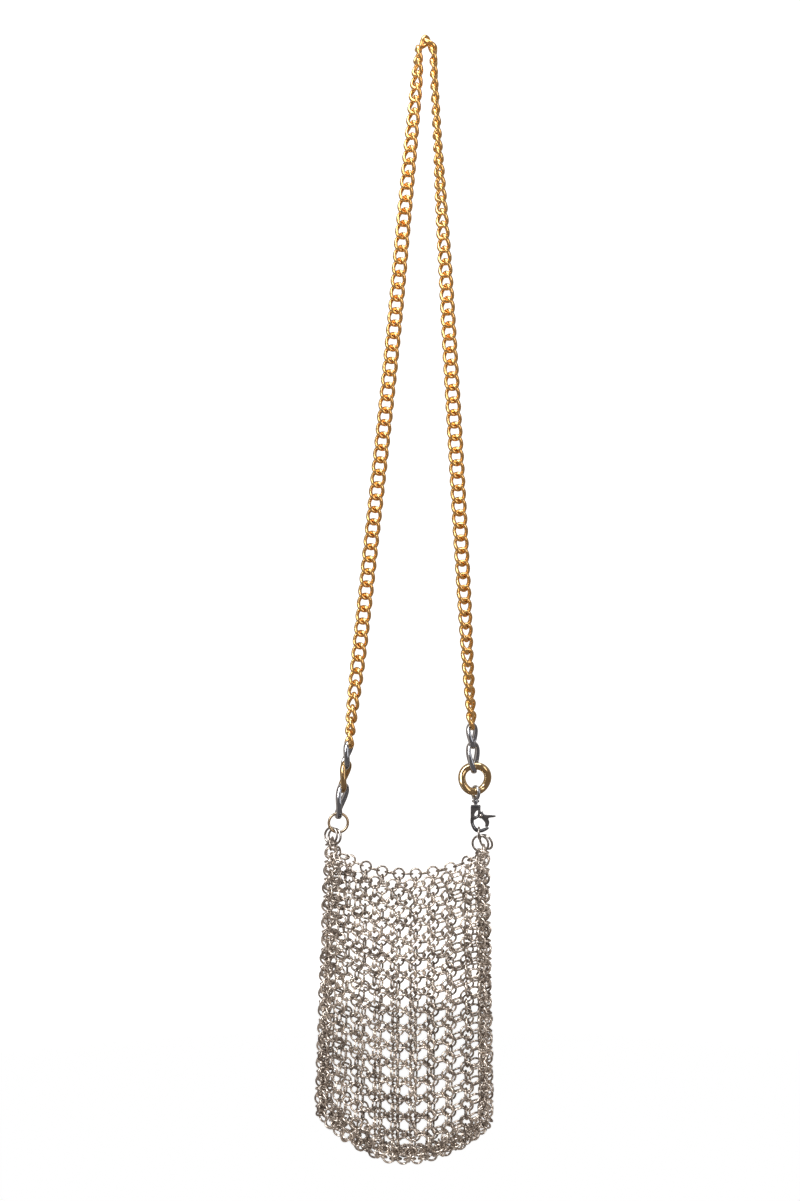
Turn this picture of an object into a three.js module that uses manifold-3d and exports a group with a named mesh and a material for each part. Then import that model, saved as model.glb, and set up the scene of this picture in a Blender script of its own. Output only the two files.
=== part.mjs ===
// Chain shoulder bag: an open bag of linked metal rings on a curb-chain strap, in millimetres.
// It hangs by its strap: the origin is the underside of the strap's top, +Z is up, the front faces -Y.

import * as THREE from 'three';
import { mergeVertices } from 'three/addons/utils/BufferGeometryUtils.js';
import Module from 'manifold-3d';

const wasm = await Module();
wasm.setup();

const degree = Math.PI / 180;
const upAxis = new THREE.Vector3(0, 0, 1);
const depthAxis = new THREE.Vector3(0, 1, 0);

// Air between pieces that touch on the real bag
const clearance = 0.3;

// Curb chain of the strap; twist is how far each end of a link turns out of its plane
const curb = { length: 13, width: 10.5, wire: 2.2, twist: 35 * degree, thickness: 4.7 };
const pegDiameter = 4.7;
const endLinkLap = 3;

// Strap runs from just below the peg to the last link: out is the share of the way to the bag's side,
// down the share of the run's drop, and turn the chain's own turn in degrees, 0 facing the front
const strapDrop = { left: 472, right: 459 };
const strapRoutes = {
  left: [
    { out: 0.0926, down: 0.0445, turn: 52 },
    { out: 0.1682, down: 0.1568, turn: 28 },
    { out: 0.2315, down: 0.25, turn: 16 },
    { out: 0.3318, down: 0.4025, turn: 3 },
    { out: 0.4414, down: 0.5487, turn: 0 },
    { out: 0.5633, down: 0.7013, turn: 0 },
    { out: 0.6914, down: 0.8623, turn: 6 },
    { out: 0.7577, down: 0.9386, turn: 30 },
    { out: 0.7886, down: 0.9746, turn: 48 },
    { out: 0.804, down: 1, turn: 62 },
  ],
  right: [
    { out: 0.1378, down: 0.0458, turn: 86 },
    { out: 0.2015, down: 0.146, turn: 76 },
    { out: 0.2679, down: 0.244, turn: 50 },
    { out: 0.3418, down: 0.3442, turn: 31 },
    { out: 0.4235, down: 0.4662, turn: 12 },
    { out: 0.5102, down: 0.5926, turn: 0 },
    { out: 0.5867, down: 0.7081, turn: -6 },
    { out: 0.6735, down: 0.8366, turn: -26 },
    { out: 0.7296, down: 0.9259, turn: -46 },
    { out: 0.7883, down: 1, turn: -68 },
  ],
};

// Links below the strap, from the top down; yaw turns a link about its own upright axis
const leftLinks = [
  { name: 'left_link_silver_small', length: 20.5, width: 12, wire: 3, twist: 32, yaw: 81 },
  { name: 'left_link_gold', length: 22.5, width: 13, wire: 3.2, twist: 32, yaw: 97 },
  { name: 'left_link_silver_large', length: 24.6, width: 13, wire: 3, twist: 32, yaw: 112 },
];
const rightLinks = [
  { name: 'right_link_silver_small', length: 18.2, width: 10.5, wire: 2.6, twist: 34, yaw: -47 },
  { name: 'right_link_silver_large', length: 22.3, width: 12, wire: 2.6, twist: 34, yaw: -22 },
  { name: 'right_link_gold_round', length: 22.5, width: 22.7, wire: 5, twist: 24, yaw: 3 },
];
const linkFinishes = { left_link_gold: 'gold', right_link_gold_round: 'paleGold' };
const leftLean = 10.5 * degree;

// Round rings that join the links to the bag's two top corners
const leftRing = { name: 'left_ring', diameter: 14.3, wire: 1.6, yaw: -24, lean: leftLean };
const claspRing = { name: 'right_clasp_ring', diameter: 9.4, wire: 1.3, yaw: 90, lean: 0 };
const cornerRing = { diameter: 12.2, wire: 1.2, spacing: 2.7, play: 0.45 };
const cornerSides = { left: { yaw: 28, seat: 3.3 }, right: { yaw: 20, seat: 1.7 } };

// Swivel clasp; its own origin is the swivel's axis at the top of its body
const swivel = {
  out: 0.8648,
  eyeLength: 11.7,
  eyeWidth: 9.4,
  eyeWire: 1.8,
  eyeYaw: 62,
  neckRadius: 1.5,
  neckLength: 1.8,
};
const post = { radius: 1, length: 2.3, headRadius: 1.7, headLength: 1 };
const clasp = { width: 6.2, thickness: 5.2, hookThickness: 2.6, bevel: 0.4, leverThickness: 1.8 };
const leverSlot = { x: 4.6, z: -7.1, length: 6, width: 2.4, height: 5.4 };
const pivot = { x: 3.7, z: -7, pinRadius: 0.65 };
const jawFloor = { x: 2.2, z: -19.8 };

// Bag body: a superellipse in plan, with ring cells of one size all round
const bag = {
  topHalfWidth: 52,
  topHalfDepth: 31,
  topSquareness: 2.6,
  bottomHalfWidth: 57,
  bottomHalfDepth: 22,
  bottomSquareness: 4.5,
  topCentreX: -12.8,
  bottomCentreX: -15,
  height: 194,
  rimSag: 15,
  baseSagLeft: 24,
  baseSagRight: 17.5,
  footRadius: 9.5,
  wall: 4,
};
const panelCells = 5;
const gussetCells = 1;
const wallCells = 8;
const gapShare = 0.675;
const gapCornerShare = 0.82;
const seamGap = 0.45;
const cornerReachCells = 0.55;

const finishes = {
  gold: { color: 0xd9a545, roughness: 0.28, metalness: 1 },
  paleGold: { color: 0xc9a469, roughness: 0.32, metalness: 1 },
  brass: { color: 0xb8a88a, roughness: 0.3, metalness: 1 },
  silver: { color: 0xb9bcc2, roughness: 0.22, metalness: 1 },
  gunmetal: { color: 0x55565b, roughness: 0.3, metalness: 1 },
  mesh: { color: 0xa9a59f, roughness: 0.3, metalness: 1 },
};

function piece(name, geometry, finish) {
  const mesh = new THREE.Mesh(geometry, new THREE.MeshStandardMaterial(finishes[finish]));
  mesh.name = name;
  return mesh;
}

// Moves every vertex of a geometry in place
function reshape(geometry, move) {
  const position = geometry.getAttribute('position');
  const vertex = new THREE.Vector3();
  for (let i = 0; i < position.count; i += 1) {
    vertex.fromBufferAttribute(position, i);
    move(vertex);
    position.setXYZ(i, vertex.x, vertex.y, vertex.z);
  }
  return geometry;
}

function weld(geometry) {
  geometry.deleteAttribute('normal');
  geometry.deleteAttribute('uv');
  const welded = mergeVertices(geometry, 1e-4);
  welded.computeVertexNormals();
  return welded;
}

function solidOf(geometry) {
  const welded = weld(geometry.clone());
  const vertProperties = new Float32Array(welded.getAttribute('position').array);
  const triVerts = new Uint32Array(welded.getIndex().array);
  return new wasm.Manifold(new wasm.Mesh({ numProp: 3, vertProperties, triVerts }));
}

function geometryOf(solid) {
  const mesh = solid.getMesh();
  const geometry = new THREE.BufferGeometry();
  geometry.setAttribute('position', new THREE.BufferAttribute(mesh.vertProperties, 3));
  geometry.setIndex(new THREE.BufferAttribute(mesh.triVerts, 1));
  geometry.computeVertexNormals();
  return geometry;
}

// One link stands in the XZ plane, long axis up; a round ring is a link without straight sides
const linkSides = 12;
const ringSides = 14;
const wireSides = 6;

function linkGeometry({ length, width, wire, twist = 0 }, sides = linkSides) {
  const geometry = new THREE.TorusGeometry((width - wire) / 2, wire / 2, wireSides, sides);
  geometry.rotateZ(Math.PI / sides);
  geometry.rotateX(Math.PI / 2);
  const stretch = (length - width) / 2;
  return weld(reshape(geometry, (vertex) => {
    vertex.z += Math.sign(vertex.z) * stretch;
    vertex.applyAxisAngle(upAxis, (twist * vertex.z) / (length / 2));
  }));
}

function ringGeometry(diameter, wire) {
  return linkGeometry({ length: diameter, width: diameter, wire }, ringSides);
}

const bagSides = {
  left: bag.topCentreX - bag.topHalfWidth,
  right: bag.topCentreX + bag.topHalfWidth,
};
const swivelX = swivel.out * bagSides.right;

// Strap: a flat tube of the chain's outer size that ends in its last real link
function strapStations(name, side) {
  const bend = (pegDiameter + curb.thickness) / 2;
  const start = clearance / 2 / bend;
  const overPeg = [start, 30 * degree, 60 * degree, 88 * degree].map((angle) => ({
    x: side * bend * Math.sin(angle),
    z: bend * Math.cos(angle) - pegDiameter / 2,
    turn: 90,
  }));
  const route = strapRoutes[name].map(({ out, down, turn }) => ({
    x: out * bagSides[name],
    z: -down * strapDrop[name],
    turn,
  }));
  return [...overPeg, ...route];
}

function strapFrame(stations, side) {
  const curve = new THREE.CatmullRomCurve3(stations.map(({ x, z }) => new THREE.Vector3(x, 0, z)));
  return (share) => {
    const along = Math.min(share * (stations.length - 1), stations.length - 1.0001);
    const row = Math.floor(along);
    const turn = THREE.MathUtils.lerp(stations[row].turn, stations[row + 1].turn, along - row) * degree;
    const tangent = share === 0 ? new THREE.Vector3(side, 0, 0) : curve.getTangent(share);
    const across = new THREE.Vector3().crossVectors(depthAxis, tangent).normalize();
    if (across.x < 0) across.negate();
    const wide = across.clone().multiplyScalar(Math.cos(turn)).addScaledVector(depthAxis, Math.sin(turn));
    const thin = new THREE.Vector3().crossVectors(tangent, wide);
    return { centre: curve.getPoint(share), tangent, wide, thin };
  };
}

function strapGeometry(name, side) {
  const stations = strapStations(name, side);
  const frameAt = strapFrame(stations, side);
  const outline = [];
  for (let i = 0; i < 8; i += 1) {
    const angle = (i + 0.5) * 45 * degree;
    const corner = new THREE.Vector2(curb.width * Math.cos(angle), curb.thickness * Math.sin(angle));
    outline.push(corner.divideScalar(2));
  }
  const steps = 2 * (stations.length - 1);
  const tube = new THREE.ExtrudeGeometry(new THREE.Shape(outline), { depth: 1, steps, bevelEnabled: false });
  reshape(tube, (vertex) => {
    const { centre, wide, thin } = frameAt(vertex.z);
    vertex.copy(centre.addScaledVector(wide, vertex.x).addScaledVector(thin, vertex.y));
  });
  const end = frameAt(1);
  const lastLink = linkGeometry(curb);
  const linkCentre = end.centre.clone().addScaledVector(end.tangent, curb.length / 2 - endLinkLap);
  const along = end.tangent.clone().negate();
  const stand = new THREE.Matrix4().makeBasis(end.wide, end.thin.clone().negate(), along);
  lastLink.applyMatrix4(stand.setPosition(linkCentre));
  return {
    geometry: geometryOf(solidOf(tube).add(solidOf(lastLink))),
    foot: linkCentre.clone().addScaledVector(end.tangent, curb.length / 2),
  };
}

const straps = {
  left: strapGeometry('left', -1),
  right: strapGeometry('right', 1),
};

// Links hang one in the next: each starts inside the link above it
function stackLinks(rows, wireAbove) {
  let top = wireAbove;
  return rows.map((row) => {
    top += row.wire + clearance;
    const link = { ...row, centre: top - row.length / 2 };
    top += row.wire - row.length;
    return link;
  });
}

function stackFoot(links) {
  const last = links.at(-1);
  return last.centre - last.length / 2;
}

// A leaning group whose own -Z runs down the stack from the strap's last link
function leaningGroup(foot, lean) {
  const group = new THREE.Group();
  group.position.copy(foot);
  group.rotation.y = lean;
  return group;
}

function addLinks(group, links) {
  for (const link of links) {
    const geometry = linkGeometry({ ...link, twist: link.twist * degree });
    const mesh = piece(link.name, geometry, linkFinishes[link.name] ?? 'silver');
    mesh.position.z = link.centre;
    mesh.rotation.z = link.yaw * degree;
    group.add(mesh);
  }
}

const object = new THREE.Group();
object.add(piece('chain_left', straps.left.geometry, 'gold'));
object.add(piece('chain_right', straps.right.geometry, 'gold'));

// Left side: three links and a round ring
const leftStack = stackLinks(leftLinks, curb.wire);
const leftGroup = leaningGroup(straps.left.foot, leftLean);
addLinks(leftGroup, leftStack);
const leftRingTop = stackFoot(leftStack) + leftLinks.at(-1).wire + clearance + leftRing.wire;
const leftRingCentre = leftRingTop - leftRing.diameter / 2;
const leftRingMesh = piece(leftRing.name, ringGeometry(leftRing.diameter, leftRing.wire), 'brass');
leftRingMesh.position.z = leftRingCentre;
leftRingMesh.rotation.z = leftRing.yaw * degree;
leftGroup.add(leftRingMesh);
object.add(leftGroup);

// Right side: three links lean so that the last one holds the clasp's eye
const rightStack = stackLinks(rightLinks, curb.wire);
const rightLean = -Math.asin((swivelX - straps.right.foot.x) / -stackFoot(rightStack));
const rightGroup = leaningGroup(straps.right.foot, rightLean);
addLinks(rightGroup, rightStack);
object.add(rightGroup);

// Swivel eye with its neck, and a headed post that the clasp turns on
const goldLink = rightLinks.at(-1);
const eyeBow = straps.right.foot.z + stackFoot(rightStack) * Math.cos(rightLean) + goldLink.wire + clearance;
const eyeFoot = eyeBow + swivel.eyeWire - swivel.eyeLength;
const claspTop = eyeFoot - swivel.neckLength - clearance;

function upright(radius, bottom, top, sides = 16) {
  const geometry = new THREE.CylinderGeometry(radius, radius, top - bottom, sides);
  return geometry.rotateX(Math.PI / 2).translate(0, 0, (top + bottom) / 2);
}

function swivelEyeGeometry() {
  const eye = linkGeometry({ length: swivel.eyeLength, width: swivel.eyeWidth, wire: swivel.eyeWire });
  eye.rotateZ(swivel.eyeYaw * degree).translate(0, 0, eyeFoot + swivel.eyeLength / 2);
  const neckFoot = eyeFoot - swivel.neckLength;
  const headTop = claspTop - post.length;
  return geometryOf(solidOf(eye)
    .add(solidOf(upright(swivel.neckRadius, neckFoot, eyeFoot + swivel.eyeWire / 2)))
    .add(solidOf(upright(post.radius, headTop - post.headLength / 2, neckFoot + swivel.neckLength / 2)))
    .add(solidOf(upright(post.headRadius, headTop - post.headLength, headTop))));
}

const eyeMesh = piece('clasp_swivel_eye', swivelEyeGeometry(), 'silver');
eyeMesh.position.x = swivelX;
object.add(eyeMesh);

// A flat plate in the XZ plane from an outline of [x, z] points, centred on y = 0
function plateGeometry(outline, thickness, bevel = 0) {
  const shape = new THREE.Shape(outline.map(([x, z]) => new THREE.Vector2(x, z)));
  const geometry = new THREE.ExtrudeGeometry(shape, {
    depth: thickness - 2 * bevel,
    bevelEnabled: bevel > 0,
    bevelThickness: bevel,
    bevelSize: bevel,
    bevelOffset: -bevel,
    bevelSegments: 1,
  });
  return geometry.translate(0, 0, bevel - thickness / 2).rotateX(Math.PI / 2);
}

// Clasp body: a block with a swivel socket, a slot for the lever, and a hook with an open jaw
const hookOutline = [
  [-3.1, -4], [1.4, -4], [2.0, -8.4], [-0.4, -9.9], [-1.9, -11.8], [-1.7, -14], [-0.6, -17.2], [0.7, -19.3],
  [jawFloor.x, jawFloor.z], [3.7, -19.6], [5.0, -18.8], [6.2, -18.0], [7.5, -17.6], [8.8, -17.0],
  [9.0, -18.3], [7.6, -20.4], [5.0, -21.8], [2.4, -22.3], [0.1, -21.4], [-1.9, -18.6], [-3.2, -15.2],
  [-3.6, -12], [-3.4, -8],
];
const blockOutline = [
  [-clasp.width / 2, 0], [clasp.width / 2, 0], [clasp.width / 2, -4.4], [4.9, -5.6], [5.4, -7.2], [4.6, -8.7],
  [3.2, -9.0], [2.0, -8.4], [-0.4, -9.9], [-3.3, -9.2],
];
const windowOutline = [[0.6, -3.6], [2.3, -3.6], [1.0, -7.6], [-1.3, -7.6]];
const leverOutline = [
  [2.3, -6.3], [3.0, -5.5], [4.0, -5.4], [4.6, -3.7], [5.3, -5.9], [6.0, -6.6], [13.2, -6.8], [13.9, -7.5],
  [13.2, -8.2], [8.2, -8.7], [9.3, -11], [9.4, -13.4], [8.9, -15.4], [8.2, -16.7], [6.4, -16.7], [6.9, -14.2],
  [6.3, -12], [4.6, -9.7], [3.0, -8.4], [2.2, -7.4],
];

function crossBar(radius, length, sides = 12) {
  return new THREE.CylinderGeometry(radius, radius, length, sides).translate(pivot.x, 0, 0);
}

function pinGeometry() {
  return crossBar(pivot.pinRadius, clasp.thickness).translate(0, 0, pivot.z);
}

function pinHole(thickness) {
  const hole = crossBar(pivot.pinRadius + clearance, thickness + 2);
  return solidOf(hole.translate(0, 0, pivot.z));
}

function claspBodyGeometry() {
  const slot = new THREE.BoxGeometry(leverSlot.length, leverSlot.width, leverSlot.height);
  slot.translate(leverSlot.x, 0, leverSlot.z);
  const socketTop = -post.length + clearance;
  const socket = upright(post.headRadius + clearance, socketTop - post.headLength - 2 * clearance, socketTop);
  return geometryOf(solidOf(plateGeometry(blockOutline, clasp.thickness, clasp.bevel))
    .add(solidOf(plateGeometry(hookOutline, clasp.hookThickness, clasp.bevel)))
    .subtract(solidOf(plateGeometry(windowOutline, clasp.thickness + 2)))
    .subtract(solidOf(upright(post.radius + clearance, -post.length, 1)))
    .subtract(solidOf(socket))
    .subtract(solidOf(slot))
    .subtract(pinHole(clasp.thickness)));
}

function leverGeometry() {
  const plate = plateGeometry(leverOutline, clasp.leverThickness, clasp.bevel / 2);
  return geometryOf(solidOf(plate).subtract(pinHole(clasp.leverThickness)));
}

const claspGroup = new THREE.Group();
claspGroup.position.set(swivelX, 0, claspTop);
claspGroup.add(piece('clasp_body', weld(claspBodyGeometry()), 'gunmetal'));
claspGroup.add(piece('clasp_lever', weld(leverGeometry()), 'gunmetal'));
claspGroup.add(piece('clasp_pin', weld(pinGeometry()), 'silver'));
object.add(claspGroup);

// Ring in the jaw, seen edge-on from the front
const claspRingX = swivelX + jawFloor.x;
const claspRingZ = claspTop + jawFloor.z + clearance + claspRing.wire - claspRing.diameter / 2;
const claspRingMesh = piece(claspRing.name, ringGeometry(claspRing.diameter, claspRing.wire), 'silver');
claspRingMesh.position.set(claspRingX, 0, claspRingZ);
claspRingMesh.rotation.z = claspRing.yaw * degree;
object.add(claspRingMesh);

// Two corner rings hang side by side on a ring's lowest bow and pass round the bag's rim
function cornerRings(side, upper, bow, rimX) {
  const inside = cornerRing.diameter / 2 - cornerRing.wire;
  const toBow = inside - upper.wire / 2 - cornerRing.play;
  const span = toBow + inside - cornerSides[side].seat;
  const bowRadius = (upper.diameter - upper.wire) / 2;
  const aside = cornerRing.spacing / 2;
  const along = new THREE.Vector3(Math.cos(upper.yaw * degree), Math.sin(upper.yaw * degree), 0);
  if (along.y < 0) along.negate();
  const lean = Math.asin((bow.x - rimX) / span);
  const seats = [-1, 1].map((end) => {
    const held = along.clone().multiplyScalar(end * aside);
    held.z = bowRadius - Math.sqrt(bowRadius ** 2 - aside ** 2);
    held.applyAxisAngle(depthAxis, upper.lean).add(bow);
    const name = `${side}_corner_ring_${end < 0 ? 'front' : 'back'}`;
    const ring = piece(name, ringGeometry(cornerRing.diameter, cornerRing.wire), 'silver');
    ring.position.set(held.x - toBow * Math.sin(lean), held.y, held.z - toBow * Math.cos(lean));
    ring.rotation.order = 'YXZ';
    ring.rotation.set(0, lean, cornerSides[side].yaw * degree);
    object.add(ring);
    return held.z - span * Math.cos(lean);
  });
  return Math.max(...seats);
}

const leftBowDepth = leftRingCentre - (leftRing.diameter - leftRing.wire) / 2;
const leftBow = straps.left.foot.clone();
leftBow.x += leftBowDepth * Math.sin(leftLean);
leftBow.z += leftBowDepth * Math.cos(leftLean);
const claspBow = new THREE.Vector3(claspRingX, 0, claspRingZ - (claspRing.diameter - claspRing.wire) / 2);

const leftBar = cornerRings('left', leftRing, leftBow, bagSides.left);
const rightBar = cornerRings('right', claspRing, claspBow, bagSides.right);

// The rim stands one bar above the corner rings' seats, and the higher corner is drawn up
const cellsRound = 2 * (panelCells + gussetCells);
const cellHeight = bag.height / wallCells;
const rimBar = (cellHeight * (1 - gapShare)) / 2;
const rimCorner = Math.min(leftBar, rightBar) + rimBar;
const leftRise = leftBar + rimBar - rimCorner;
const rightRise = rightBar + rimBar - rimCorner;
const sectionSteps = 48;

// Point of a superellipse at a cell number, counted from the front's middle towards +X by arc length
function sectionPoint(cell, halfWidth, halfDepth, squareness) {
  const quarter = cellsRound / 4;
  const turned = THREE.MathUtils.euclideanModulo(cell, cellsRound);
  const quadrant = Math.min(Math.floor(turned / quarter), 3);
  const within = turned / quarter - quadrant;
  const share = quadrant % 2 ? 1 - within : within;
  const points = [];
  const lengths = [0];
  for (let i = 0; i <= sectionSteps; i += 1) {
    const angle = (i / sectionSteps) * (Math.PI / 2);
    const x = halfWidth * Math.sin(angle) ** (2 / squareness);
    const y = halfDepth * Math.max(Math.cos(angle), 0) ** (2 / squareness);
    points.push(new THREE.Vector2(x, y));
    if (i > 0) lengths.push(lengths[i - 1] + points[i].distanceTo(points[i - 1]));
  }
  const target = share * lengths[sectionSteps];
  const found = Math.max(1, lengths.findIndex((length) => length >= target));
  const blend = (target - lengths[found - 1]) / (lengths[found] - lengths[found - 1]);
  const point = points[found - 1].clone().lerp(points[found], blend);
  const outward = new THREE.Vector2(
    (point.x / halfWidth) ** (squareness - 1) / halfWidth,
    (point.y / halfDepth) ** (squareness - 1) / halfDepth,
  ).normalize();
  const mirror = new THREE.Vector2(quadrant < 2 ? 1 : -1, quadrant % 3 ? 1 : -1);
  return { point: point.multiply(mirror), outward: outward.multiply(mirror) };
}

// How far the rim is drawn up at a cell number by the strap's two corners
function rimRise(cell) {
  const rightCell = cellsRound / 4;
  const leftCell = -cellsRound / 4;
  const near = (corner) => {
    const gap = THREE.MathUtils.euclideanModulo(cell - corner + cellsRound / 2, cellsRound) - cellsRound / 2;
    return Math.exp(-((gap / cornerReachCells) ** 2));
  };
  return leftRise * near(leftCell) + rightRise * near(rightCell);
}

// How far the base's middle hangs below its end on the side of x
function baseSag(x) {
  return x < 0 ? bag.baseSagLeft : bag.baseSagRight;
}

// Direction out of the base, which sags towards its middle
function underside(x) {
  const reach = bag.bottomHalfWidth - bag.footRadius;
  return new THREE.Vector3((2 * baseSag(x) * x) / reach ** 2, 0, -1).normalize();
}

// Point and outward direction of the ring wall's middle surface, from the rim down to the curled-in foot
const footLength = (bag.footRadius * Math.PI) / 2;
const footRow = wallCells * (1 - footLength / (bag.height - bag.footRadius + footLength));

function wallPoint(cell, row, inset = 0) {
  const down = Math.min(row / footRow, 1);
  const curl = (Math.max(row - footRow, 0) / (wallCells - footRow)) * (Math.PI / 2);
  const inward = bag.footRadius * (1 - Math.cos(curl)) + inset;
  const halfWidth = THREE.MathUtils.lerp(bag.topHalfWidth, bag.bottomHalfWidth, down) - inward;
  const halfDepth = THREE.MathUtils.lerp(bag.topHalfDepth, bag.bottomHalfDepth, down) - inward;
  const squareness = THREE.MathUtils.lerp(bag.topSquareness, bag.bottomSquareness, down);
  const section = sectionPoint(cell, halfWidth, halfDepth, squareness);
  const { x, y } = section.point;
  const aside = (x / halfWidth) ** 2;
  const rim = rimCorner - bag.rimSag * (1 - aside) + rimRise(cell);
  const foot = rimCorner - bag.rimSag - bag.height + baseSag(x) * aside + bag.footRadius;
  const centreX = THREE.MathUtils.lerp(bag.topCentreX, bag.bottomCentreX, down);
  const z = THREE.MathUtils.lerp(rim, foot, down) - bag.footRadius * Math.sin(curl);
  const outward = new THREE.Vector3(section.outward.x, section.outward.y, 0).multiplyScalar(Math.cos(curl));
  outward.addScaledVector(underside(x), Math.sin(curl)).normalize();
  return { point: new THREE.Vector3(centreX + x, y, z), outward };
}

// Point of the base, blended from the foot's four edges; across runs 0 to 1 in x, back 0 to 1 in y
const seam = seamGap / 2 / cellHeight;
const panelHalf = panelCells / 2 - seam;
const backCell = cellsRound / 2;

function basePoint(across, back) {
  const edge = (cell) => wallPoint(cell, wallCells, clearance).point;
  const front = edge(THREE.MathUtils.lerp(-panelHalf, panelHalf, across));
  const rear = edge(THREE.MathUtils.lerp(backCell + panelHalf, backCell - panelHalf, across));
  const left = edge(THREE.MathUtils.lerp(-panelHalf, panelHalf - backCell, back));
  const right = edge(THREE.MathUtils.lerp(panelHalf, backCell - panelHalf, back));
  const corners = [
    [edge(-panelHalf), (1 - across) * (1 - back)],
    [edge(panelHalf), across * (1 - back)],
    [edge(panelHalf - backCell), (1 - across) * back],
    [edge(backCell - panelHalf), across * back],
  ];
  const point = front.multiplyScalar(1 - back).addScaledVector(rear, back);
  point.addScaledVector(left, 1 - across).addScaledVector(right, across);
  for (const [corner, weight] of corners) point.addScaledVector(corner, -weight);
  return { point, outward: underside(point.x - bag.bottomCentreX) };
}

// A sheet of square cells over a surface, each cell cut through by one eight-sided gap
const cellCorners = [[0, 0], [0.5, 0], [1, 0], [1, 0.5], [1, 1], [0.5, 1], [0, 1], [0, 0.5]];

function piercedSheet(surface, columns, rows) {
  const points = [];
  const at = (column, row, side) => {
    const { point, outward } = surface(column / columns, row / rows);
    return point.addScaledVector(outward, (side * bag.wall) / 2);
  };
  const face = (a, b, c, d) => points.push(a, b, c, a.clone(), c.clone(), d);
  const gapCorners = cellCorners.map(([x, y]) => {
    const isCorner = x !== 0.5 && y !== 0.5;
    const reach = gapShare * (isCorner ? gapCornerShare : 1);
    return [0.5 + (x - 0.5) * reach, 0.5 + (y - 0.5) * reach];
  });
  for (let column = 0; column < columns; column += 1) {
    for (let row = 0; row < rows; row += 1) {
      cellCorners.forEach(([x, y], k) => {
        const [nextX, nextY] = cellCorners[(k + 1) % 8];
        const [gapX, gapY] = gapCorners[k];
        const [nextGapX, nextGapY] = gapCorners[(k + 1) % 8];
        const rim = (side) => [at(column + x, row + y, side), at(column + nextX, row + nextY, side)];
        const gap = (side) => [
          at(column + gapX, row + gapY, side),
          at(column + nextGapX, row + nextGapY, side),
        ];
        face(rim(1)[1], rim(1)[0], gap(1)[0], gap(1)[1]);
        face(rim(-1)[0], rim(-1)[1], gap(-1)[1], gap(-1)[0]);
        face(gap(1)[1], gap(1)[0], gap(-1)[0], gap(-1)[1]);
        const onEdge = (a, b, low, count) => (a === b) && (low + a === 0 || low + a === count);
        if (onEdge(x, nextX, column, columns) || onEdge(y, nextY, row, rows)) {
          face(rim(1)[0], rim(1)[1], rim(-1)[1], rim(-1)[0]);
        }
      });
    }
  }
  return weld(new THREE.BufferGeometry().setFromPoints(points));
}

function wallPanel(firstCell, cells) {
  const start = firstCell + seam;
  const end = firstCell + cells - seam;
  const surface = (across, down) => wallPoint(THREE.MathUtils.lerp(start, end, across), down * wallCells);
  return piercedSheet(surface, cells, wallCells);
}

const gussetStart = panelCells / 2;
object.add(piece('front_panel', wallPanel(-gussetStart, panelCells), 'mesh'));
object.add(piece('right_gusset', wallPanel(gussetStart, gussetCells), 'mesh'));
object.add(piece('back_panel', wallPanel(gussetStart + gussetCells, panelCells), 'mesh'));
object.add(piece('left_gusset', wallPanel(-gussetStart - gussetCells, gussetCells), 'mesh'));
object.add(piece('base_panel', piercedSheet(basePoint, panelCells, 1), 'mesh'));

export default object;
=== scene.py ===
"""Looks of the chain shoulder bag: linked ring mesh, curb chain strap, mixed links, rings and clasp."""

import math
import random

import bmesh
import bpy
import numpy as np
from mathutils import Matrix, Vector


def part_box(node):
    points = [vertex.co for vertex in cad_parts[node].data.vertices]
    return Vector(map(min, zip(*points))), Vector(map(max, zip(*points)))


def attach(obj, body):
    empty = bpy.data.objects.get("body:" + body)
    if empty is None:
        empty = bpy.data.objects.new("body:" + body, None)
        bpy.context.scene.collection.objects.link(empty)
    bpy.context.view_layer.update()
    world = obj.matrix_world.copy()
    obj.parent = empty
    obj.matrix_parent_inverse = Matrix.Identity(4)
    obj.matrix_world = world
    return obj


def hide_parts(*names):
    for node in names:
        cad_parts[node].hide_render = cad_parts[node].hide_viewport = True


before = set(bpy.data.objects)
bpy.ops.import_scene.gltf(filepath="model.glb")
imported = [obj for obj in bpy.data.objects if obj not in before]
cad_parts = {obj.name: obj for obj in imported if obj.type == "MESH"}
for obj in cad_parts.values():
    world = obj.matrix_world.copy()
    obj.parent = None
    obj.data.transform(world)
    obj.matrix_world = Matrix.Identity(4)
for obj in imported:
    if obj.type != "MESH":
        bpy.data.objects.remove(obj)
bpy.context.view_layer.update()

MM = 0.001
rng = random.Random(7)

# Bag body, the same named sizes as in the part's source
BAG = {
    "top_half_width": 52 * MM,
    "top_half_depth": 31 * MM,
    "top_squareness": 3.2,
    "bottom_half_width": 57 * MM,
    "bottom_half_depth": 22 * MM,
    "bottom_squareness": 6,
    "top_centre_x": -12.8 * MM,
    "bottom_centre_x": -15 * MM,
    "height": 194 * MM,
    "rim_sag": 15 * MM,
    "base_sag_left": 24 * MM,
    "base_sag_right": 17.5 * MM,
    "foot_radius": 9.5 * MM,
    "right_rise": 5 * MM,
    "rim_shift": -2 * MM,
    "back_drop": 3 * MM,
    "back_foot_drop": 3 * MM,
}
CELLS_ROUND = 12
WALL_CELLS = 8
PANEL_CELLS = 5
CORNER_REACH_CELLS = 0.55
CLEARANCE = 0.3 * MM

# Mesh rings: flat ones face out, standing ones link them; spread is how unevenly they hang
RING = {"diameter": 9 * MM, "wire": 1.45 * MM}
WALL_COLUMNS = 24
WALL_ROWS = 17
ROW_PITCH_CELLS = 0.4828
FIRST_ROW = 0.49
GUSSET_COLUMNS = 2
BASE_COLUMNS = 10
SPREAD = {"sway": 0.06, "tilt": 10, "tilt_spread": 6, "shift": 0.2 * MM}

# Steps along a wire and sides around it
MESH_DETAIL = (20, 8)
CURB_DETAIL = (28, 12)
LINK_DETAIL = (56, 20)
RING_DETAIL = (48, 14)
EYE_DETAIL = (48, 16)

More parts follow.
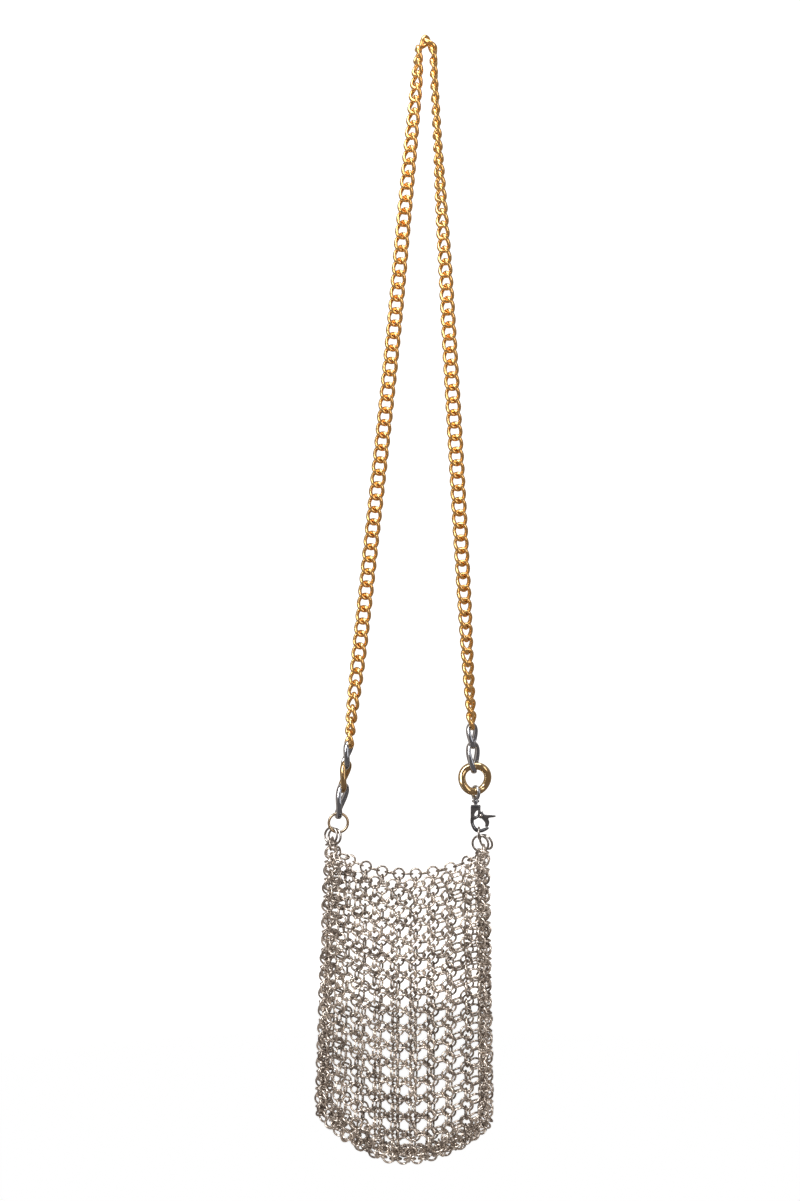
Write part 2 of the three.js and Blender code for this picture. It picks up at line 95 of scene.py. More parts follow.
# Fullness of an oval link's ends; 1 is an ellipse, less is fuller
FULLNESS = 0.8

# Curb chain and its route, whose rows hold the share of the way out, the share of the drop and the turn
CURB = {"length": 13.8 * MM, "width": 11 * MM, "wire": 2.6 * MM, "through": 3.1 * MM, "twist": -45}
CHAIN_THICKNESS = 4.7 * MM
PEG_DIAMETER = 4.7 * MM
END_LINK_LAP = 3.4 * MM
PEG_TURN = -90
STRAP_DROP = {"left": 472 * MM, "right": 459 * MM}
STRAP_ROUTES = {
    "left": [
        (0.0926, 0.0445, -52), (0.1682, 0.1568, -28), (0.2315, 0.25, -16), (0.3318, 0.4025, -3),
        (0.4414, 0.5487, 0), (0.5633, 0.7013, 0), (0.6914, 0.8623, -6), (0.7577, 0.9386, -36),
        (0.7886, 0.9746, -56), (0.804, 1, -72),
    ],
    "right": [
        (0.1378, 0.0458, -86), (0.2015, 0.146, -76), (0.2679, 0.244, -50), (0.3418, 0.3442, -31),
        (0.4235, 0.4662, -12), (0.5102, 0.5926, 0), (0.5867, 0.7081, 12), (0.6735, 0.8366, 34),
        (0.7296, 0.9259, 56), (0.7883, 1, 74),
    ],
}

# Links of the hardware in mm and degrees: length, width, wire, wire's depth, twist, yaw, lean, finish
LEFT_LEAN = 10.5
RIGHT_LEAN = -3
LINKS = {
    "left_link_silver_small": (20.5, 12, 3, 4.1, -38, 92, LEFT_LEAN, "silver"),
    "left_link_gold": (23, 13, 3.2, 4.1, -38, 87, LEFT_LEAN, "old_gold"),
    "left_link_silver_large": (25.6, 13, 3, 4.2, -38, 78, LEFT_LEAN, "silver"),
    "right_link_silver_small": (18.2, 10.5, 2.7, 3.8, -38, 62, RIGHT_LEAN, "silver"),
    "right_link_silver_large": (22.3, 12, 2.8, 4.2, -38, 60, RIGHT_LEAN, "silver"),
    "right_link_gold_round": (22.5, 23.4, 5.2, 4.6, -28, 16, RIGHT_LEAN, "pale_gold"),
}

# Round rings in mm and degrees: diameter, wire, yaw, lean, finish, shift from the CAD's ring
ROUND_RINGS = {
    "left_ring": (15, 1.9, 12, 0, "brass", (2.1, 0, -0.7)),
    "left_corner_ring_front": (12.2, 1.6, -34, 14.4, "nickel", (-2.1, 0.3, 0.5)),
    "left_corner_ring_back": (12.2, 1.6, -34, 14.4, "nickel", (2.8, -0.3, -0.8)),
    "right_clasp_ring": (9, 1.5, 90, 0, "nickel", (0, 0, 3.8)),
    "right_corner_ring_front": (12.6, 1.6, -14, -26, "nickel", (-0.6, 0, 4)),
    "right_corner_ring_back": (12, 1.6, -44, -30, "nickel", (3.2, 0, 4.8)),
}

# Swivel clasp in mm from its swivel's axis at the top of its body; the hook's rows also hold a radius
HOOK_REACH_LEFT = 3.6
BLOCK_OUTLINE = [
    (-3.4, -0.7), (-2.9, -0.2), (2.9, -0.2), (3.4, -0.7), (3.3, -4.2), (3.8, -4.8), (5.0, -5.7), (5.4, -7.2),
    (4.8, -8.5), (3.2, -9.0), (2.0, -8.4), (-0.4, -9.9), (-3.4, -9.2),
]
CORE_OUTLINE = [
    (-3.2, -0.4), (3.2, -0.4), (3.2, -4.1), (1.7, -4.2), (1.4, -8.6), (-0.4, -9.7), (-3.3, -9.1),
]
CHEEK = {"thickness": 1.5, "edge": 0.4, "depth": 1.85}
CORE = {"thickness": 2.4, "edge": 0.1}
LEVER = {"thickness": 1.8, "edge": 0.35}
HOOK_DEPTH_SHARE = 1.2
WINDOW_OUTLINE = [(0.5, -3.5), (2.4, -3.5), (1.1, -7.7), (-1.4, -7.7)]
HOOK_ARM = [
    (-1.9, -7.6, 1.2), (-2.2, -9.4, 1.4), (-2.5, -11.4, 1.2), (-2.1, -13.4, 1.15), (-1.1, -15.6, 1.3),
    (0.5, -17.2, 1.4), (2.5, -17.7, 1.3), (4.8, -17.3, 1.25), (6.8, -16.4, 1.15), (8.1, -15.7, 0.9),
]
LEVER_OUTLINE = [
    (2.3, -6.3), (3.0, -5.5), (4.0, -5.4), (4.6, -3.7), (5.3, -5.9), (6.0, -6.6), (13.2, -6.8), (13.9, -7.5),
    (13.2, -8.2), (8.2, -8.7), (9.3, -10.6), (9.4, -12.4), (8.9, -13.9), (8.2, -14.8), (6.2, -14.8),
    (6.7, -13.1), (6.1, -11.4), (4.6, -9.7), (3.0, -8.4), (2.2, -7.4),
]
PIN_PROFILE = [
    (0, -2.95), (0.6, -2.9), (1.0, -2.65), (1.0, -2.5), (0.65, -2.4),
    (0.65, 2.4), (1.0, 2.5), (1.0, 2.65), (0.6, 2.9), (0, 2.95),
]
PIVOT = (3.7, -7)
EYE = {"length": 10.4, "width": 9, "wire": 2.5, "yaw": -50}
NECK_PROFILE = [
    (0, 2.9), (1.4, 2.8), (2.5, 2.2), (2.5, 1.0), (1.6, 0.7), (1.6, 0.3), (2.6, 0), (2.6, -1.2),
    (1.7, -1.6), (1.3, -1.9), (1.3, -2.8), (0.9, -3.0), (0, -3.0),
]


# Materials


def ramp(nodes, stops):
    """A colour ramp node with (position, colour) stops."""
    node = nodes.new("ShaderNodeValToRGB")
    node.color_ramp.elements[0].position = stops[0][0]
    node.color_ramp.elements[0].color = (*stops[0][1], 1)
    node.color_ramp.elements[1].position = stops[-1][0]
    node.color_ramp.elements[1].color = (*stops[-1][1], 1)
    for position, color in stops[1:-1]:
        node.color_ramp.elements.new(position).color = (*color, 1)
    return node


# Painted reflection: the side, towards the camera, whose surfaces are painted darkest in place of the dark
# studio they reflect, and how deep the painted dark is as the surface turns towards it
PAINTED_REFLECTION_SIDE = (0.3, -0.92, -0.25)
PAINTED_REFLECTION_BANDS = [(0.4, 0), (0.5, 0.8), (0.6, 0.85), (0.72, 0.05), (0.84, 0.05), (0.94, 0.9), (1, 0.8)]


def metal(name, dark, light, rough, toned=False, painted_reflection_tint=None):
    """Plated metal: cloudy tone, fine rubbed roughness, an uneven skin and a painted reflection, dark bands
    painted on the side that faces the camera.
    """
    material = bpy.data.materials.new(name)
    material.use_nodes = True
    nodes = material.node_tree.nodes
    links = material.node_tree.links
    shader = nodes["Principled BSDF"]
    shader.inputs["Metallic"].default_value = 1.0
    coordinates = nodes.new("ShaderNodeTexCoord")

    cloud = nodes.new("ShaderNodeTexNoise")
    cloud.inputs["Scale"].default_value = 260
    cloud.inputs["Detail"].default_value = 4
    links.new(coordinates.outputs["Object"], cloud.inputs["Vector"])
    tone = cloud.outputs["Fac"]
    if toned:
        attribute = nodes.new("ShaderNodeAttribute")
        attribute.attribute_name = "tone"
        blend = nodes.new("ShaderNodeMath")
        blend.operation = "MULTIPLY_ADD"
        blend.inputs[1].default_value = 0.5
        links.new(attribute.outputs["Fac"], blend.inputs[0])
        halve = nodes.new("ShaderNodeMath")
        halve.operation = "MULTIPLY"
        halve.inputs[1].default_value = 0.5
        links.new(cloud.outputs["Fac"], halve.inputs[0])
        links.new(halve.outputs[0], blend.inputs[2])
        tone = blend.outputs[0]
    colors = ramp(nodes, [(0.3, dark), (0.7, light)])
    links.new(tone, colors.inputs["Fac"])
    skin_color = colors.outputs["Color"]
    # Painted reflection: the colour is darkened in bands by how far the surface turns towards the camera
    # side, painted shade in place of real reflections
    if painted_reflection_tint:
        side = nodes.new("ShaderNodeVectorMath")
        side.operation = "DOT_PRODUCT"
        side.inputs[1].default_value = PAINTED_REFLECTION_SIDE
        links.new(coordinates.outputs["Normal"], side.inputs[0])
        waver = nodes.new("ShaderNodeMath")
        waver.operation = "MULTIPLY_ADD"
        waver.inputs[1].default_value = 0.3
        links.new(cloud.outputs["Fac"], waver.inputs[0])
        links.new(side.outputs["Value"], waver.inputs[2])
        cover = ramp(nodes, [(share, (depth,) * 3) for share, depth in PAINTED_REFLECTION_BANDS])
        links.new(waver.outputs[0], cover.inputs["Fac"])
        darken = nodes.new("ShaderNodeMix")
        darken.data_type = "RGBA"
        darken.inputs["B"].default_value = (*painted_reflection_tint, 1)
        links.new(cover.outputs["Color"], darken.inputs["Factor"])
        links.new(skin_color, darken.inputs["A"])
        skin_color = darken.outputs["Result"]
    links.new(skin_color, shader.inputs["Base Color"])

    rub = nodes.new("ShaderNodeTexNoise")
    rub.inputs["Scale"].default_value = 1400
    rub.inputs["Detail"].default_value = 6
    rub.inputs["Roughness"].default_value = 0.65
    links.new(coordinates.outputs["Object"], rub.inputs["Vector"])
    spread = nodes.new("ShaderNodeMapRange")
    spread.inputs["From Min"].default_value = 0.3
    spread.inputs["From Max"].default_value = 0.75
    spread.inputs["To Min"].default_value = rough[0]
    spread.inputs["To Max"].default_value = rough[1]
    links.new(rub.outputs["Fac"], spread.inputs["Value"])
    links.new(spread.outputs["Result"], shader.inputs["Roughness"])

    skin = nodes.new("ShaderNodeTexNoise")
    skin.inputs["Scale"].default_value = 520
    skin.inputs["Detail"].default_value = 3
    links.new(coordinates.outputs["Object"], skin.inputs["Vector"])
    bump = nodes.new("ShaderNodeBump")
    bump.inputs["Strength"].default_value = 0.25
    bump.inputs["Distance"].default_value = 0.2 * MM
    links.new(skin.outputs["Fac"], bump.inputs["Height"])
    links.new(bump.outputs["Normal"], shader.inputs["Normal"])
    return material


# Tints of the painted reflection: the dark of the studio, painted into each metal's colour
PAINTED_REFLECTION_BLUE_GREY = (0.06, 0.07, 0.10)
PAINTED_REFLECTION_UMBER = (0.24, 0.14, 0.06)
PAINTED_REFLECTION_COPPER = (0.52, 0.26, 0.08)
PAINTED_REFLECTION_SMOKE = (0.16, 0.14, 0.13)
MATERIALS = {
    "gold": metal("gold_plate", (0.90, 0.54, 0.18), (1.0, 0.76, 0.36), (0.16, 0.3), painted_reflection_tint=PAINTED_REFLECTION_COPPER),
    "old_gold": metal("old_gold_plate", (0.56, 0.38, 0.18), (0.90, 0.70, 0.40), (0.12, 0.26), painted_reflection_tint=PAINTED_REFLECTION_UMBER),
    "pale_gold": metal("pale_gold_plate", (0.70, 0.52, 0.27), (0.98, 0.80, 0.50), (0.1, 0.22), painted_reflection_tint=PAINTED_REFLECTION_UMBER),
    "brass": metal("pale_brass_plate", (0.58, 0.50, 0.38), (0.84, 0.76, 0.61), (0.18, 0.34), painted_reflection_tint=PAINTED_REFLECTION_UMBER),
    "silver": metal("silver_plate", (0.70, 0.71, 0.73), (0.96, 0.96, 0.96), (0.08, 0.2), painted_reflection_tint=PAINTED_REFLECTION_BLUE_GREY),
    "nickel": metal("nickel_plate", (0.48, 0.45, 0.42), (0.80, 0.77, 0.73), (0.14, 0.3), painted_reflection_tint=PAINTED_REFLECTION_SMOKE),
    "mesh": metal("mesh_plate", (0.29, 0.25, 0.22), (0.80, 0.73, 0.66), (0.1, 0.24), toned=True),
    "gunmetal": metal("gunmetal_plate", (0.08, 0.083, 0.095), (0.20, 0.20, 0.21), (0.14, 0.3)),
}


# Mesh tools


def mesh_object(name, verts, faces, material):
    mesh = bpy.data.meshes.new(name)
    mesh.from_pydata(np.asarray(verts).tolist(), [], np.asarray(faces).tolist())
    mesh.polygons.foreach_set("use_smooth", [True] * len(mesh.polygons))
    mesh.materials.append(MATERIALS[material])
    piece = bpy.data.objects.new(name, mesh)
    bpy.context.scene.collection.objects.link(piece)
    return piece


def stand_for(piece, node, body="bag"):
    """Puts a piece on its body, in the place of a CAD node."""
    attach(piece, body)
    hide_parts(node)


def unit(vectors):
    return vectors / np.linalg.norm(vectors, axis=-1, keepdims=True)


def round_section(across, through, sides):
    angles = np.arange(sides) * 2 * math.pi / sides
    return np.stack([np.cos(angles) * through / 2, np.sin(angles) * across / 2], axis=1)


def quads(rows, sides, closed=False):
    """Faces between neighbouring rows of points, each row a closed loop of sides points."""
    i, j = np.meshgrid(np.arange(rows if closed else rows - 1), np.arange(sides), indexing="ij")
    here = i * sides
    below = (i + 1) % rows * sides
    around = (j + 1) % sides
    return np.stack([here + j, here + around, below + around, below + j], axis=-1).reshape(-1, 4)


def closed_tube(path, normals, section):
    """A closed loop of wire; section holds offsets along the loop's plane normal and within the plane."""
    tangent = unit(np.roll(path, -1, axis=0) - np.roll(path, 1, axis=0))
    lift = unit(normals - (normals * tangent).sum(axis=1, keepdims=True) * tangent)
    side = np.cross(lift, tangent)
    verts = path[:, None] + lift[:, None] * section[None, :, :1] + side[:, None] * section[None, :, 1:]
    return verts.reshape(-1, 3), quads(len(path), len(section), closed=True)


def link_tube(length, width, wire, twist, steps, sides, through=None, fullness=1.0):
    """One oval link in the XZ plane, long axis up, each end turned by twist degrees about that axis."""
    angles = (np.arange(steps) + 0.5) * 2 * math.pi / steps
    z = (length - wire) / 2 * np.sin(angles)
    turn = math.radians(twist) * z / (length / 2)
    flat = (width - wire) / 2 * np.sign(np.cos(angles)) * np.abs(np.cos(angles)) ** fullness
    path = np.stack([flat * np.cos(turn), flat * np.sin(turn), z], axis=1)
    normals = np.stack([np.sin(turn), -np.cos(turn), np.zeros(steps)], axis=1)
    return closed_tube(path, normals, round_section(wire, through or wire, sides))


def placed(verts, matrix):
    turned = np.array(matrix.to_3x3())
    return verts @ turned.T + np.array(matrix.translation)


def joined(parts):
    """Verts and faces of several meshes as one."""
    verts, faces, offset = [], [], 0
    for part_verts, part_faces in parts:
        verts.append(part_verts)
        faces.append(part_faces + offset)
        offset += len(part_verts)
    return np.concatenate(verts), np.concatenate(faces)


def box_centre(node):
    low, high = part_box(node)
    return (Vector(low) + Vector(high)) / 2


# Bag surface


RIM_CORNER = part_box("right_gusset")[1][2]
LEFT_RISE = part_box("left_gusset")[1][2] - RIM_CORNER


def mix(a, b, share):
    return a + (b - a) * share


def section_point(cell, half_width, half_depth, squareness):
    """A superellipse's point and outward direction, counted by arc length from the front's middle."""
    quarter = CELLS_ROUND / 4
    turned = cell % CELLS_ROUND
    quadrant = min(int(turned // quarter), 3)
    within = turned / quarter - quadrant
    share = 1 - within if quadrant % 2 else within
    angles = np.linspace(0, math.pi / 2, 49)
    xs = half_width * np.sin(angles) ** (2 / squareness)
    ys = half_depth * np.clip(np.cos(angles), 0, None) ** (2 / squareness)
    lengths = np.concatenate([[0], np.cumsum(np.hypot(np.diff(xs), np.diff(ys)))])
    x = float(np.interp(share * lengths[-1], lengths, xs))
    y = float(np.interp(share * lengths[-1], lengths, ys))
    out_x = (x / half_width) ** (squareness - 1) / half_width
    out_y = (y / half_depth) ** (squareness - 1) / half_depth
    size = math.hypot(out_x, out_y)
    mirror_x = 1 if quadrant < 2 else -1
    mirror_y = 1 if quadrant % 3 else -1
    return mirror_x * x, mirror_y * y, mirror_x * out_x / size, mirror_y * out_y / size


def rim_rise(cell):
    """How far the rim is drawn up at a cell by the rings at the bag's two corners."""
    rise = 0
    for corner, height in ((-CELLS_ROUND / 4, LEFT_RISE), (CELLS_ROUND / 4, BAG["right_rise"])):
        gap = (cell - corner + CELLS_ROUND / 2) % CELLS_ROUND - CELLS_ROUND / 2
        rise += height * math.exp(-((gap / CORNER_REACH_CELLS) ** 2))
    return rise


def base_sag(x):
    return BAG["base_sag_left"] if x < 0 else BAG["base_sag_right"]


def underside(x):
    reach = BAG["bottom_half_width"] - BAG["foot_radius"]
    return Vector((2 * base_sag(x) * x / reach**2, 0, -1)).normalized()


FOOT_LENGTH = BAG["foot_radius"] * math.pi / 2
FOOT_ROW = WALL_CELLS * (1 - FOOT_LENGTH / (BAG["height"] - BAG["foot_radius"] + FOOT_LENGTH))


def wall_point(cell, row, inset=0.0):
    """Point and outward direction of the wall from the rim, row 0, to the curled-in foot, row 8."""
    down = min(row / FOOT_ROW, 1)
    curl = max(row - FOOT_ROW, 0) / (WALL_CELLS - FOOT_ROW) * math.pi / 2
    inward = BAG["foot_radius"] * (1 - math.cos(curl)) + inset
    half_width = mix(BAG["top_half_width"], BAG["bottom_half_width"], down) - inward
    half_depth = mix(BAG["top_half_depth"], BAG["bottom_half_depth"], down) - inward
    squareness = mix(BAG["top_squareness"], BAG["bottom_squareness"], down)
    x, y, out_x, out_y = section_point(cell, half_width, half_depth, squareness)
    aside = (x / half_width) ** 2
    rim = RIM_CORNER - BAG["rim_sag"] * (1 - aside) + rim_rise(cell)
    foot = RIM_CORNER - BAG["rim_sag"] - BAG["height"] + base_sag(x) * aside + BAG["foot_radius"]
    centre_x = mix(BAG["top_centre_x"], BAG["bottom_centre_x"], down)
    centre_x += BAG["rim_shift"] * (1 - aside) * (1 - down)
    drop = mix(BAG["back_drop"], BAG["back_foot_drop"], down) * max(y / half_depth, 0)
    z = mix(rim, foot, down) - BAG["foot_radius"] * math.sin(curl) - drop
    outward = Vector((out_x, out_y, 0)) * math.cos(curl) + underside(x) * math.sin(curl)
    return Vector((centre_x + x, y, z)), outward.normalized()


def base_point(across, back):
    """Point and outward direction of the base, blended from the foot's four edges."""
    half = PANEL_CELLS / 2
    back_cell = CELLS_ROUND / 2

    def edge(cell):
        return wall_point(cell, WALL_CELLS, CLEARANCE)[0]

    front = edge(mix(-half, half, across))
    rear = edge(mix(back_cell + half, back_cell - half, across))
    left = edge(mix(-half, half - back_cell, back))
    right = edge(mix(half, back_cell - half, back))
    point = front * (1 - back) + rear * back
    point += left * (1 - across) + right * across
    point -= edge(-half) * (1 - across) * (1 - back) + edge(half) * across * (1 - back)
    point -= edge(half - back_cell) * (1 - across) * back + edge(back_cell - half) * across * back
    return point, underside(point.x - BAG["bottom_centre_x"])


# Ring mesh


def flat_ring(place):
    """Centre and axis of a ring that lies in the wall, a little askew."""
    centre, outward = place
    sway = Vector([rng.gauss(0, SPREAD["sway"]) for _ in range(3)])
    return centre, (outward + sway).normalized(), outward


def linking_ring(first, second):
    """Centre and axis of the standing ring that links two flat rings, tilted about the line between them."""
    line = (second[0] - first[0]).normalized()
    outward = (first[2] + second[2]).normalized()
    axis = line.cross(outward).normalized()
    tilt = Matrix.Rotation(math.radians(rng.gauss(SPREAD["tilt"], SPREAD["tilt_spread"])), 3, line)
    shift = outward * rng.gauss(0, SPREAD["shift"])
    return (first[0] + second[0]) / 2 + shift, tilt @ axis, outward


def panel_of(cell):
    """The CAD node that holds a cell of the wall."""
    turned = (cell + PANEL_CELLS / 2) % CELLS_ROUND
    if turned < PANEL_CELLS:
        return "front_panel"
    if turned < PANEL_CELLS + 1:
        return "right_gusset"
    if turned < 2 * PANEL_CELLS + 1:
        return "back_panel"
    return "left_gusset"


def ring_layout():
    """All mesh rings by the CAD node that they stand for."""
    layout = {name: [] for name in ("front_panel", "back_panel", "right_gusset", "left_gusset", "base_panel")}
    wall = {}
    for column in range(WALL_COLUMNS):
        cell = (column + 0.5) * CELLS_ROUND / WALL_COLUMNS
        for row in range(WALL_ROWS):
            wall[column, row] = flat_ring(wall_point(cell, (row + FIRST_ROW) * ROW_PITCH_CELLS))
            layout[panel_of(cell)].append(wall[column, row])
    for (column, row), ring in wall.items():
        panel = layout[panel_of((column + 0.5) * CELLS_ROUND / WALL_COLUMNS)]
        panel.append(linking_ring(ring, wall[(column + 1) % WALL_COLUMNS, row]))
        if row + 1 < WALL_ROWS:
            panel.append(linking_ring(ring, wall[column, row + 1]))

    lowest = WALL_ROWS - 1
    half_front = BASE_COLUMNS // 2
    back_left = WALL_COLUMNS - half_front - GUSSET_COLUMNS - 1
    base = [flat_ring(base_point((column + 0.5) / BASE_COLUMNS, 0.5)) for column in range(BASE_COLUMNS)]
    foot = layout["base_panel"]
    foot.extend(base)
    for column, ring in enumerate(base):
        foot.append(linking_ring(ring, wall[(column - half_front) % WALL_COLUMNS, lowest]))
        foot.append(linking_ring(ring, wall[back_left - column, lowest]))
    for first, second in zip(base, base[1:]):
        foot.append(linking_ring(first, second))
    for column in range(half_front, half_front + GUSSET_COLUMNS):
        foot.append(linking_ring(base[-1], wall[column, lowest]))
        foot.append(linking_ring(base[0], wall[WALL_COLUMNS - 1 - column, lowest]))
    return layout


def ring_mesh(name, rings):
    """Many rings as one mesh, each with its own tone."""
    verts, faces = link_tube(RING["diameter"], RING["diameter"], RING["wire"], 0, *MESH_DETAIL)
    matrices = []
    for _, axis, _ in rings:
        spin = Matrix.Rotation(rng.uniform(0, math.tau), 3, "Y")
        matrices.append(np.array(axis.to_track_quat("Y", "Z").to_matrix() @ spin))
    turned = np.einsum("rij,vj->rvi", np.array(matrices), verts)
    turned += np.array([list(centre) for centre, _, _ in rings])[:, None]
    offsets = np.arange(len(rings)) * len(verts)
    all_faces = (faces[None] + offsets[:, None, None]).reshape(-1, 4)
    piece = mesh_object(name, turned.reshape(-1, 3), all_faces, "mesh")
    tones = np.repeat([rng.uniform(0, 1) for _ in rings], len(verts)).astype(np.float32)
    piece.data.attributes.new("tone", "FLOAT", "POINT").data.foreach_set("value", tones)
    return piece


for node, rings in ring_layout().items():
    stand_for(ring_mesh(f"{node}_rings", rings), node)


# Strap


def strap_stations(name, side):
    """The chain's x, z and turn at the peg and at each row of its route."""
    bend = (PEG_DIAMETER + CHAIN_THICKNESS) / 2
    angles = [CLEARANCE / 2 / bend, math.radians(30), math.radians(60), math.radians(88)]
    stations = [(side * bend * math.sin(a), bend * math.cos(a) - PEG_DIAMETER / 2, PEG_TURN) for a in angles]
    reach = BAG["top_centre_x"] + side * BAG["top_half_width"]
    for out, down, turn in STRAP_ROUTES[name]:
        stations.append((out * reach, -down * STRAP_DROP[name], turn))
    return stations


PATH_STEPS = 60
END_STEPS = 7


def strap_path(name, side):
    """Points down one run with the chain's turn at each, on a centripetal Catmull-Rom curve."""
    stations = strap_stations(name, side)
    points = [Vector((x, 0, z)) for x, z, _ in stations]
    points = [2 * points[0] - points[1], *points, 2 * points[-1] - points[-2]]
    path, turns = [], []
    for row in range(len(stations) - 1):
        p0, p1, p2, p3 = points[row : row + 4]
        d0, d1, d2 = (math.sqrt((b - a).length) for a, b in ((p0, p1), (p1, p2), (p2, p3)))
        leave = ((p1 - p0) / d0 - (p2 - p0) / (d0 + d1) + (p2 - p1) / d1) * d1
        arrive = ((p2 - p1) / d1 - (p3 - p1) / (d1 + d2) + (p3 - p2) / d2) * d1
        for step in range(PATH_STEPS):
            t = step / PATH_STEPS
            bend = (2 * p1 - 2 * p2 + leave + arrive) * t**3 + (3 * p2 - 3 * p1 - 2 * leave - arrive) * t**2
            path.append(p1 + leave * t + bend)
            turns.append(mix(stations[row][2], stations[row + 1][2], t))
    path.append(points[-2])
    turns.append(stations[-1][2])
    return np.array([list(p) for p in path]), np.array(turns)


def strap_chain(name, side):
    """One run of the chain, link by link, from the peg to the link that holds the hardware."""
    path, turns = strap_path(name, side)
    gaps = np.linalg.norm(np.diff(path, axis=0), axis=1)
    along = np.concatenate([[0], np.cumsum(gaps)])
    pitch = CURB["length"] - 2 * CURB["wire"]
    last_joint = along[-1] + CURB["length"] / 2 - END_LINK_LAP - pitch / 2
    count = round(last_joint / pitch)
    joints = np.linspace(0, last_joint, count + 1)
    places = np.stack([np.interp(joints, along, path[:, axis]) for axis in range(3)], axis=1)
    places[0] = (0, 0, CHAIN_THICKNESS / 2)
    end_direction = unit(path[-1] - path[-1 - END_STEPS])
    places = np.concatenate([places, [places[-1] + end_direction * pitch]])
    sizes = (CURB["length"], CURB["width"], CURB["wire"], CURB["twist"])
    link, faces = link_tube(*sizes, *CURB_DETAIL, CURB["through"], FULLNESS)
    parts = []
    for top, foot, middle in zip(places, places[1:], (*(joints[1:] + joints[:-1]) / 2, last_joint)):
        up = Vector(top - foot).normalized()
        across = Vector((0, 1, 0)).cross(-up).normalized()
        if across.x < 0:
            across.negate()
        turn = math.radians(float(np.interp(middle, along, turns)))
        wide = (across * math.cos(turn) + Vector((0, 1, 0)) * math.sin(turn)).normalized()
        thin = up.cross(wide)
        matrix = Matrix((wide, thin, up)).transposed().to_4x4()
        matrix.translation = Vector((top + foot) / 2)
        parts.append((placed(link, matrix), faces))
    return mesh_object(f"strap_chain_{name}", *joined(parts), "gold")


for name, side in (("left", -1), ("right", 1)):
    stand_for(strap_chain(name, side), f"chain_{name}")


# Links and round rings


def hang(node, lean, yaw, shift=(0, 0, 0)):
    """Where a link or ring hangs: at its CAD node's centre, moved by a shift in mm."""
    matrix = Matrix.Rotation(math.radians(lean), 4, "Y") @ Matrix.Rotation(math.radians(yaw), 4, "Z")
    matrix.translation = box_centre(node) + Vector(shift) * MM
    return matrix


for node, (length, width, wire, through, twist, yaw, lean, finish) in LINKS.items():
    verts, faces = link_tube(length * MM, width * MM, wire * MM, twist, *LINK_DETAIL, through * MM, FULLNESS)
    piece = mesh_object(f"{node}_wire", placed(verts, hang(node, lean, yaw)), faces, finish)
    stand_for(piece, node)

for node, (diameter, wire, yaw, lean, finish, shift) in ROUND_RINGS.items():
    verts, faces = link_tube(diameter * MM, diameter * MM, wire * MM, 0, *RING_DETAIL)
    piece = mesh_object(f"{node}_wire", placed(verts, hang(node, lean, yaw, shift)), faces, finish)
    stand_for(piece, node)


# Swivel clasp


def triangles(faces):
    """Quads cut into triangles."""
    return np.concatenate([faces[:, [0, 1, 2]], faces[:, [0, 2, 3]]])


def rounded(outline, closed=True):
    """An outline or path whose corners are cut back, twice over, into a smooth curve."""
    points = np.array(outline, dtype=float)
    for _ in range(2):
        ahead = np.roll(points, -1, axis=0) if closed else points[1:]
        here = points if closed else points[:-1]
        cut = np.stack([0.75 * here + 0.25 * ahead, 0.25 * here + 0.75 * ahead], axis=1)
        cut = cut.reshape(-1, points.shape[1])
        points = cut if closed else np.concatenate([points[:1], cut[1:-1], points[-1:]])
    return points


def plate(outlines, thickness, edge, depth=0.0):
    """A plate in the XZ plane with rounded edges; the first outline is its rim, the others are holes."""
    curve = bpy.data.curves.new("plate", "CURVE")
    curve.dimensions = "2D"
    curve.fill_mode = "BOTH"
    curve.extrude = thickness / 2 - edge
    curve.bevel_depth = edge
    curve.bevel_resolution = 3
    curve.offset = -edge
    for outline in outlines:
        spline = curve.splines.new("POLY")
        spline.points.add(len(outline) - 1)
        for point, (x, z) in zip(spline.points, outline):
            point.co = (x, z, 0, 1)
        spline.use_cyclic_u = True
    shape = bpy.data.objects.new("plate", curve)
    mesh = bpy.data.meshes.new_from_object(shape)
    mesh.calc_loop_triangles()
    verts = np.array([(v.co.x, depth - v.co.z, v.co.y) for v in mesh.vertices])
    faces = np.array([tuple(t.vertices) for t in mesh.loop_triangles])
    bpy.data.objects.remove(shape)
    bpy.data.curves.remove(curve)
    bpy.data.meshes.remove(mesh)
    return verts, faces


def lathe(profile, sides=28):
    """A profile of (radius, height) rows turned about the Z axis."""
    rows = np.array(profile, dtype=float)
    angles = np.arange(sides) * math.tau / sides
    verts = np.stack([
        rows[:, :1] * np.cos(angles),
        rows[:, :1] * np.sin(angles),
        np.repeat(rows[:, 1:], sides, axis=1),
    ], axis=-1)
    return verts.reshape(-1, 3), triangles(quads(len(rows), sides))


def arm(rows, depth_share, sides=18):
    """A tapering bar along a path of (x, z, radius) rows in the XZ plane, with round ends."""
    rows = rounded(rows, closed=False)
    start, end = rows[0], rows[-1]
    tangent = unit(np.gradient(rows[:, :2], axis=0))
    caps = np.array([(math.sin(a), math.cos(a)) for a in np.radians([75, 45, 20])])
    first = [(*(start[:2] - tangent[0] * start[2] * out), start[2] * size) for out, size in caps]
    last = [(*(end[:2] + tangent[-1] * end[2] * out), end[2] * size) for out, size in caps[::-1]]
    rows = np.concatenate([first, rows, last])
    tangent = np.concatenate([[tangent[0]] * 3, tangent, [tangent[-1]] * 3])
    angles = np.arange(sides) * math.tau / sides
    side = np.stack([-tangent[:, 1], tangent[:, 0]], axis=1)
    offset = rows[:, 2, None] * np.cos(angles)
    verts = np.stack([
        rows[:, :1] + side[:, :1] * offset,
        rows[:, 2, None] * np.sin(angles) * depth_share,
        rows[:, 1:2] + side[:, 1:] * offset,
    ], axis=-1).reshape(-1, 3)
    tips = np.array([(rows[k, 0], 0, rows[k, 1]) for k in (0, -1)])
    count = len(verts)
    low = count - sides
    fans = [(count, (j + 1) % sides, j) for j in range(sides)]
    fans += [(count + 1, low + j, low + (j + 1) % sides) for j in range(sides)]
    faces = np.concatenate([triangles(quads(len(rows), sides)), np.array(fans)])
    return np.concatenate([verts, tips]), faces


